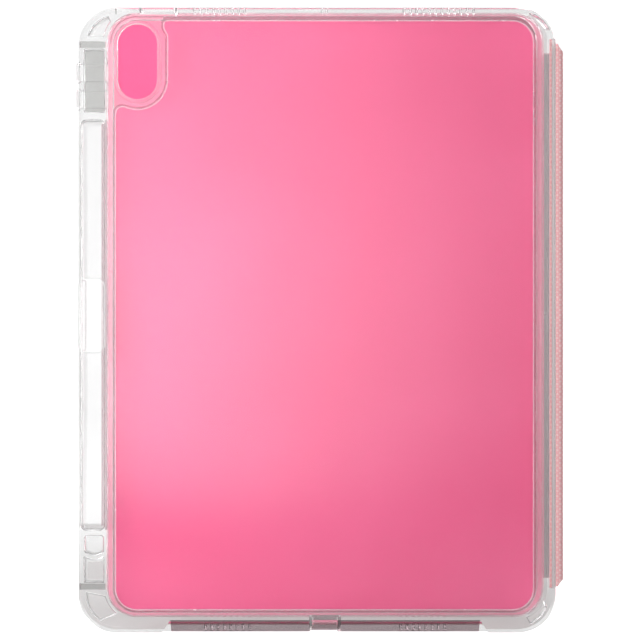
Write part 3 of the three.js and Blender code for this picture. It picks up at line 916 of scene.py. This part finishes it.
# two short low ribs on the right wall, halfway up
for name, z in (("catch_rib_upper", 131.6), ("catch_rib_lower", 129.9)):
    catch = loft(name, rounded_rect(89.9, 91.6, z - 0.35, z + 0.35, 0.3),
                 fillet(Y_BACK - 0.1, 0.2, steps=3) + [(Y_BACK + 0.44, 0)])
    dress(soften(catch), milky, "shell", "frosted_soft")

# ------------------------------------------------------------------ fabric flange, retainer and spine
SPINE_Z = node_box("spine_skin")[2]
FLANGE_Z = (18.9, 242.6)
FLANGE_X = 92.95
SPINE_X = 97.7
FABRIC = 0.8


def flange():
    """The fabric's tail, held in the bumper behind the clear retainer."""
    path = [(FLANGE_X, y) for y in (5.0, 3.0, 0.9, 0.2, -0.9, -1.4)]
    return soften(sheet_along("fabric_flange", path, FABRIC, lambda i: (18.5, 244.2)))


dress(flange(), salmon_weave, "shell", "woven_fabric", "spine_flange")


def retainer():
    """A clear bar that clamps the flange, with a slot for the fabric to come out of."""
    outline = rounded_rect(93.42, 94.95, 18.4, 244.3, 0.15)
    bar = loft("clear_retainer", outline, fillet(Y_BACK + 0.1, 0.2, steps=2) + [(5.1, 0.0)])
    slot = box_solid("cut", (92, 96), (-0.15, 0.75), (FLANGE_Z[0] - 0.1, FLANGE_Z[1] + 0.1))
    return soften(boolean(bar, [slot]))


dress(retainer(), cloudy_clear, "shell", "clear_hard", "hinge_retainer")
# a pale grey line along the retainer's outer face: painted shade for the gap beside the hinge strip
retainer_shade_line = loft("retainer_shade_line", rounded_rect(94.2, 94.85, 18.9, 243.8, 0.15),
                     [(Y_BACK - 0.02, -0.05), (Y_BACK + 0.03, 0.0), (Y_BACK + 0.09, 0.0)])
dress(soften(retainer_shade_line), pale_shade_clear, "shell", "clear_hard")


def hinge_strip():
    """Fabric that leaves the retainer's slot, passes behind the shell and turns round the spine's corner."""
    path = [(93.45, 0.3), (94.2, 0.3), (94.9, 0.3), (95.15, 0.22), (95.38, 0.0), (95.5, -0.3), (95.62, -0.62),
            (95.85, -0.87), (96.2, -1.0), (96.55, -1.0), (96.9, -1.0)]
    path += arc(96.9, -0.2, 0.8, -80, 0, 8) + [(SPINE_X, 0.1), (SPINE_X, 0.4)]
    # the path runs backwards so that the outer side is on its left
    path.reverse()
    widens_from = 95.6

    def span(i):
        t = min(max((path[i][0] - widens_from) / (SPINE_X - widens_from), 0), 1)
        return tuple(a + (b - a) * t for a, b in zip(FLANGE_Z, SPINE_Z))

    strip = sheet_along("spine_hinge_strip", path, FABRIC, span, along=TURN_X + TURN_Y - 0.4)
    return soften(strip, 60)


dress(hinge_strip(), salmon_weave, "shell", "woven_fabric", "spine_skin", onto="spine",
      start=at(95.0, 0, 120), end=at(SPINE_X, 0, 120))


def spine_side():
    """The spine's flat side, as deep as the case."""
    path = [(SPINE_X, y) for y in (8.5, 7.0, 5.0, 3.0, 1.5, 0.4)]
    side = sheet_along("spine_side", path, FABRIC, lambda i: SPINE_Z, along=TURN_X + TURN_Y - 8.5, edge=HEM)
    return soften(side)


dress(spine_side(), salmon_weave, "spine", "woven_fabric", "spine_skin")


def front_corner():
    """Fabric round the front corner, from the spine to the first panel."""
    turn = arc(95.9, 8.95, 1.8, 90, 0, 12)
    path = [(94.5, 10.75), (95.2, 10.75)] + turn + [(SPINE_X, 8.5)]
    corner = sheet_along("cover_hinge_strip", path, 0.76, lambda i: SPINE_Z, along=94.5, edge=HEM)
    return soften(corner, 60)


dress(front_corner(), salmon_weave, "spine", "woven_fabric", onto="panel_a",
      start=at(SPINE_X, 8.5, 120), end=at(94.6, 10.75, 120))

spine_inside = loft("spine_inner_lining", rounded_rect(0.95, 8.4, 22.3, 238.8, 1.2),
                    [(95.32, -0.15), (95.4, 0), (95.95, 0)], "x")
dress(soften(spine_inside), rose_lining, "spine", "soft_lining", "spine_lining")

# ------------------------------------------------------------------ the folding cover
FOLDS = {"first": 33.1, "second": -28.4}
FOLD_HALF = 1.5
SHOULDER_X = 97.0
LINING_X1 = 90.6
OVERHANG = 0.8
# points of the skin beyond this depth belong to its outer side
OUTER_SIDE = 10.5


def cover_outline(grow=0.0):
    """A little more than the tablet's outline, with a shoulder that runs on to the spine."""
    out = grow + OVERHANG
    corner = TABLET_CORNER + out
    x0, x1 = -TABLET_HALF - out, TABLET_HALF + out
    z0, z1 = TABLET_Z0 - out, TABLET_Z1 + out
    shoulder = [(x1, SPINE_Z[0] - grow), (SHOULDER_X + grow, SPINE_Z[0] - grow),
                (SHOULDER_X + grow, SPINE_Z[1] + grow), (x1, SPINE_Z[1] + grow)]
    return (
        arc(x0 + corner, z0 + corner, corner, 180, 270)
        + arc(x1 - corner, z0 + corner, corner, 270, 360)
        + shoulder
        + arc(x1 - corner, z1 - corner, corner, 0, 90)
        + arc(x0 + corner, z1 - corner, corner, 90, 180)
    )


def cover_skin():
    """The whole outer skin with its pressed hem, turned in round the boards' edges."""
    profile = [(10.35, -1.5), (9.38, -1.45), (9.38, -0.12), (9.46, 0.0), (10.6, 0.0)]
    profile += [(11.1 - thin, -inset) for inset, thin in HEM[1:]]
    return loft("skin", cover_outline, profile)


def cover_lining():
    """The whole lining, on the side that lies on the tablet's screen."""
    profile = [(9.3, -0.2), (8.98, -0.2), (8.86, -0.26), (8.8, -0.42)]
    return loft("lining", cover_outline, profile)


def portion(whole, name, x0, x1):
    """The part of a layer between two fold lines, cut out with a block that is deeper and taller than it."""
    piece = bpy.data.objects.new(name, whole.data.copy())
    scene.collection.objects.link(piece)
    return boolean(piece, [box_solid("keep", (x0, x1), (5, 15), (-5, 265))], "INTERSECT")


def bend_lines(obj, centre, half, count):
    """Adds lines of points across a strip so that it can bend."""
    bm = bmesh.new()
    bm.from_mesh(obj.data)
    for i in range(1, count):
        x = centre - half + 2 * half * i / count
        geometry = bm.verts[:] + bm.edges[:] + bm.faces[:]
        bmesh.ops.bisect_plane(bm, geom=geometry, plane_co=at(x, 0, 0), plane_no=(1, 0, 0), dist=1e-7)
    bm.to_mesh(obj.data)
    bm.free()


def press_fold(obj, centre, depth):
    """Presses the outer side of a fold strip into a shallow valley."""
    low = at(0, OUTER_SIDE, 0).y
    for vert in obj.data.vertices:
        off = abs(vert.co.x - at(centre, 0, 0).x) / (FOLD_HALF * MM)
        if vert.co.y > low and off < 1:
            vert.co.y -= depth * MM * (0.5 + 0.5 * math.cos(math.pi * off))


skin_whole, lining_whole = cover_skin(), cover_lining()
PANELS = {
    "panel_a": (FOLDS["first"] + FOLD_HALF, 94.5),
    "panel_b": (FOLDS["second"] + FOLD_HALF, FOLDS["first"] - FOLD_HALF),
    "panel_c": (-100.0, FOLDS["second"] - FOLD_HALF),
}
for body, (x0, x1) in PANELS.items():
    skin = soften(weave_uv(portion(skin_whole, body + "_cover", x0, x1)))
    dress(skin, salmon_weave, body, "woven_fabric", body + "_skin")
    lining = soften(portion(lining_whole, body + "_inner", x0, min(x1, LINING_X1)))
    dress(lining, rose_lining, body, "soft_lining", body + "_lining")

# a grey edge of the lining over the first board's shoulder: painted shade seen through the right wall
shade_edge_lining = soften(portion(lining_whole, "panel_a_shade_edge_lining", LINING_X1 + 0.05, 94.3))
dress(shade_edge_lining, grey_shade_lining, "panel_a", "soft_lining")

for fold, (near, far) in {"first": ("panel_a", "panel_b"), "second": ("panel_b", "panel_c")}.items():
    x = FOLDS[fold]
    for whole, name, material, slot, depth in (
        (skin_whole, "_fold_skin", salmon_weave, "woven_fabric", 0.42),
        (lining_whole, "_fold_lining", rose_lining, "soft_lining", 0.0),
    ):
        piece = portion(whole, fold + name, x - FOLD_HALF, x + FOLD_HALF)
        bend_lines(piece, x, FOLD_HALF, 12)
        press_fold(piece, x, depth)
        if material is salmon_weave:
            weave_uv(piece)
        dress(soften(piece, 60), material, near, slot, onto=far,
              start=at(x + FOLD_HALF, 10, 120), end=at(x - FOLD_HALF, 10, 120))
for whole in (skin_whole, lining_whole):
    bpy.data.objects.remove(whole)

# ------------------------------------------------------------------ hidden parts keep their CAD meshes
HIDDEN = {
    grey_board: ("spine_board", "panel_a_board", "panel_b_board", "panel_c_board"),
    steel: ("stand_strip", "stand_magnet_top", "stand_magnet_middle", "stand_magnet_bottom", "wake_magnet"),
}
for material, names in HIDDEN.items():
    for name in names:
        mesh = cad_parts[name].data
        mesh.materials.clear()
        mesh.materials.append(material)

# ------------------------------------------------------------------ stage, light and camera
scene.view_settings.view_transform = "Standard"
scene.view_settings.look = "None"
# the glow's middle, seen from the object: sideways and up, per metre back; then its spread and strength
GLOW = {"side": -0.12, "rise": 0.0, "wide": 0.17, "tall": 0.155, "strength": 2.6}


def stage_bowl():
    """A pale floor that curves up into a wall all round, metres away from the case."""
    n = Nodes("stage_white")
    seen = n.add("LightPath").outputs["Is Camera Ray"]
    place = n.add("TexCoord").outputs["Object"]
    split = n.add("SeparateXYZ", inputs={0: place}).outputs
    ramp = {"Value": split[1], "From Min": 0.05, "From Max": 0.6, "To Min": 0.05, "To Max": 0.6}
    behind = n.add("MapRange", inputs=ramp).outputs[0]
    # a broad soft glow on the wall behind the camera, which the glossy back mirrors
    back = n.math("MAXIMUM", n.math("MULTIPLY", split[1], -1.0), 0.1)

    def off_centre(offset, middle, spread):
        """How far a point of the bowl lies from the glow's middle, squared, in spreads."""
        place_there = n.math("SUBTRACT", n.math("DIVIDE", offset, back), middle)
        return n.math("POWER", n.math("ABSOLUTE", n.math("DIVIDE", place_there, spread)), 2.0)

    rise = n.math("SUBTRACT", split[2], (Z0 + Z1) / 2 * MM)
    away = n.math("ADD", off_centre(split[0], GLOW["side"], GLOW["wide"]),
                  off_centre(rise, GLOW["rise"], GLOW["tall"]))
    glow_card = n.math("MULTIPLY", n.math("EXPONENT", n.math("MULTIPLY", away, -1.0)), GLOW["strength"])
    room = n.math("ADD", behind, glow_card)
    strength = n.math("ADD", room, n.math("MULTIPLY", seen, n.math("SUBTRACT", 0.85, room)))
    glow = n.add("Emission", inputs={"Color": (1, 1, 1, 1), "Strength": strength})
    matt = n.add("BsdfDiffuse", inputs={"Color": (0.5, 0.5, 0.5, 1)})
    both = n.add("AddShader", inputs={0: glow.outputs[0], 1: matt.outputs[0]})
    n.feed(n.out.inputs[0], both)
    flat, bend, wall = 3.0, 2.0, 3.0
    profile = [(flat, 0.0)]
    steps = 16
    for i in range(1, steps + 1):
        t = math.pi / 2 * i / steps
        profile.append((flat + bend * math.sin(t), bend * (1 - math.cos(t))))
    profile.append((flat + bend, bend + wall))
    around = 64
    turns = [2 * math.pi * i / around for i in range(around)]
    bm = bmesh.new()
    centre = bm.verts.new((0, 0, 0))
    rings = []
    for radius, z in profile:
        rings.append([bm.verts.new((radius * math.cos(t), radius * math.sin(t), z)) for t in turns])
    for i in range(around):
        bm.faces.new((centre, rings[0][i], rings[0][(i + 1) % around]))
    for lower, upper in zip(rings, rings[1:]):
        for i in range(around):
            j = (i + 1) % around
            bm.faces.new((lower[i], lower[j], upper[j], upper[i]))
    bowl = mesh_object("stage_floor", bm)
    for face in bowl.data.polygons:
        face.use_smooth = True
    bowl.data.materials.append(n.material)


def softbox(name, place, aim, size, power, mirrored=True):
    """A rectangular lamp that faces aim. With mirrored off, reflected rays don't see it."""
    data = bpy.data.lights.new(name, "AREA")
    data.shape = "RECTANGLE"
    data.size, data.size_y = size
    data.energy = power
    lamp = bpy.data.objects.new(name, data)
    lamp.location = place
    lamp.rotation_euler = (Vector(aim) - Vector(place)).to_track_quat("-Z", "Y").to_euler()
    lamp.visible_glossy = mirrored
    scene.collection.objects.link(lamp)


stage_bowl()
world = bpy.data.worlds.new("studio")
world.use_nodes = True
background = world.node_tree.nodes["Background"]
background.inputs["Color"].default_value = (1, 1, 1, 1)
background.inputs["Strength"].default_value = 0.18
scene.world = world

middle = Vector((0, 0, (Z0 + Z1) / 2 * MM))
# it stands so near the back that reflected rays are kept from seeing its hard edges
softbox("key_left", (-0.34, -0.30, 0.20), middle, (0.25, 0.40), 1.85, mirrored=False)
softbox("front", (0.8, 1.3, 0.9), middle, (0.9, 0.9), 12.0)
softbox("fill_right", (1.25, 0.4, 0.4), middle, (0.8, 0.8), 8.0)
softbox("top", (0.0, 0.1, 1.7), middle, (1.4, 1.0), 4.0)

# how much width the view takes in at the back face, and the point of that face in its middle
VIEW_WIDTH = 263.4
VIEW_X, VIEW_Z = -2.1, 128.7
LENS, SENSOR = 150.0, 36.0
camera_data = bpy.data.cameras.new("camera")
camera_data.lens = LENS
camera_data.sensor_width = SENSOR
camera = bpy.data.objects.new("camera", camera_data)
distance = VIEW_WIDTH * LENS / SENSOR
camera.location = at(VIEW_X, Y_BACK - distance, VIEW_Z)
camera.rotation_euler = (math.pi / 2, 0, 0)
scene.collection.objects.link(camera)
scene.camera = camera
